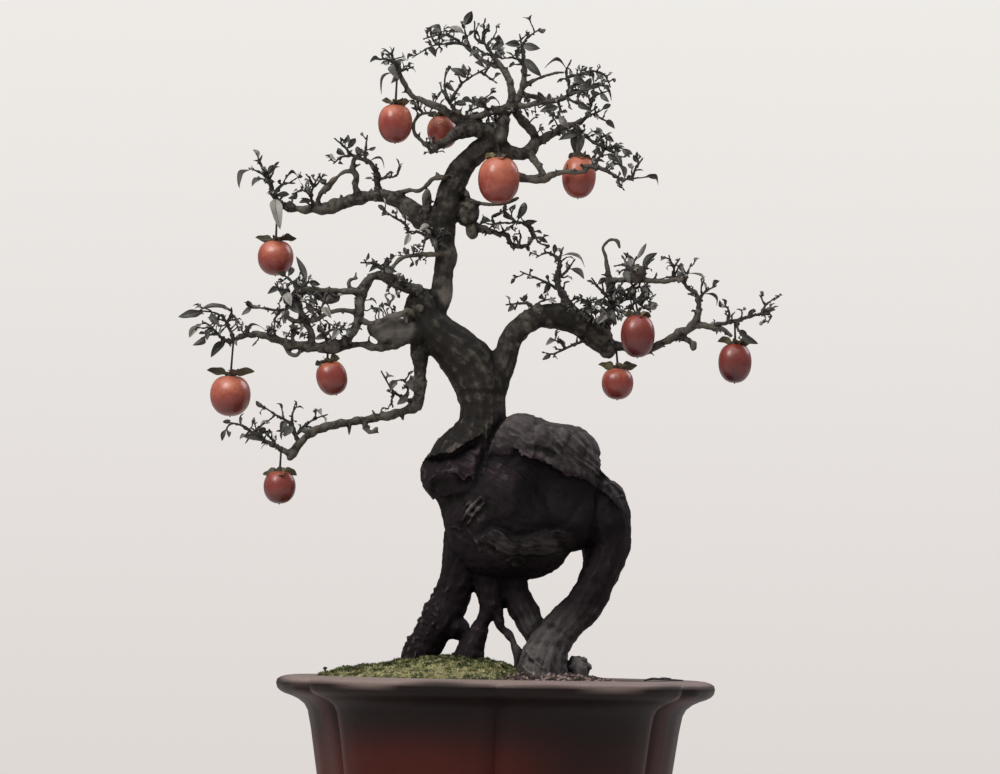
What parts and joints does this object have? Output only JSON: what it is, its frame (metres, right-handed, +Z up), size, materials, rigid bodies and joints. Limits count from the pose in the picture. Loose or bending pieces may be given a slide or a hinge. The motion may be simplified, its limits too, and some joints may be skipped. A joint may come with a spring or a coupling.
{
  "type": "potted fruiting bonsai tree",
  "caption": "Diospyros armata bonsai with an arched, buttressed trunk, fine leafy twigs and hanging orange fruit, in a round lobed pot with a flared rim.",
  "frame": {"origin": "centre of the flat underside of the pot, which stands on the table", "axes": "+Z up along the tree, +X to the right and -Y towards the viewer in the front view"},
  "size_m": [0.416, 0.3068, 0.631],
  "materials": {
    "clay": "satin",
    "screen": "matte",
    "soil": "matte",
    "moss": "matte",
    "bark": "matte",
    "foliage": "matte",
    "berry": "gloss",
    "calyx": "matte"
  },
  "bodies": {
    "root": {"berry_01": "berry", "berry_02": "berry", "berry_03": "berry", "berry_04": "berry", "berry_05": "berry", "berry_06": "berry", "berry_07": "berry", "berry_08": "berry", "berry_09": "berry", "berry_10": "berry", "berry_11": "berry", "calyx_01": "calyx", "calyx_02": "calyx", "calyx_03": "calyx", "calyx_04": "calyx", "calyx_05": "calyx", "calyx_06": "calyx", "calyx_07": "calyx", "calyx_08": "calyx", "calyx_09": "calyx", "calyx_10": "calyx", "calyx_11": "calyx", "drain_screen_left": "screen", "drain_screen_right": "screen", "moss": "moss", "pot": "clay", "soil": "soil", "trunk": "bark", "twigs_crown_back_top": "foliage", "twigs_crown_front": "foliage", "twigs_crown_inner": "foliage", "twigs_crown_left_tip": "foliage", "twigs_crown_middle": "foliage", "twigs_crown_middle_top": "foliage", "twigs_crown_right_end": "foliage", "twigs_crown_right_top": "foliage", "twigs_crown_spike": "foliage", "twigs_crown_under": "foliage", "twigs_down_branch_elbow": "foliage", "twigs_down_branch_end": "foliage", "twigs_down_branch_tip": "foliage", "twigs_far_left": "foliage", "twigs_left_branch_middle": "foliage", "twigs_left_branch_tip": "foliage", "twigs_left_branch_uprights": "foliage", "twigs_left_lower_inner": "foliage", "twigs_left_middle_cluster": "foliage", "twigs_left_middle_inner": "foliage", "twigs_left_middle_top": "foliage", "twigs_right_cluster": "foliage", "twigs_right_cluster_top": "foliage", "twigs_right_end": "foliage", "twigs_right_fine": "foliage", "twigs_right_fork": "foliage", "twigs_right_loop": "foliage", "twigs_right_underside": "foliage", "twigs_stub_branch_tip": "foliage", "twigs_trunk_left_drooping": "foliage", "twigs_trunk_right_twigs": "foliage"}
  },
  "joints": []
}
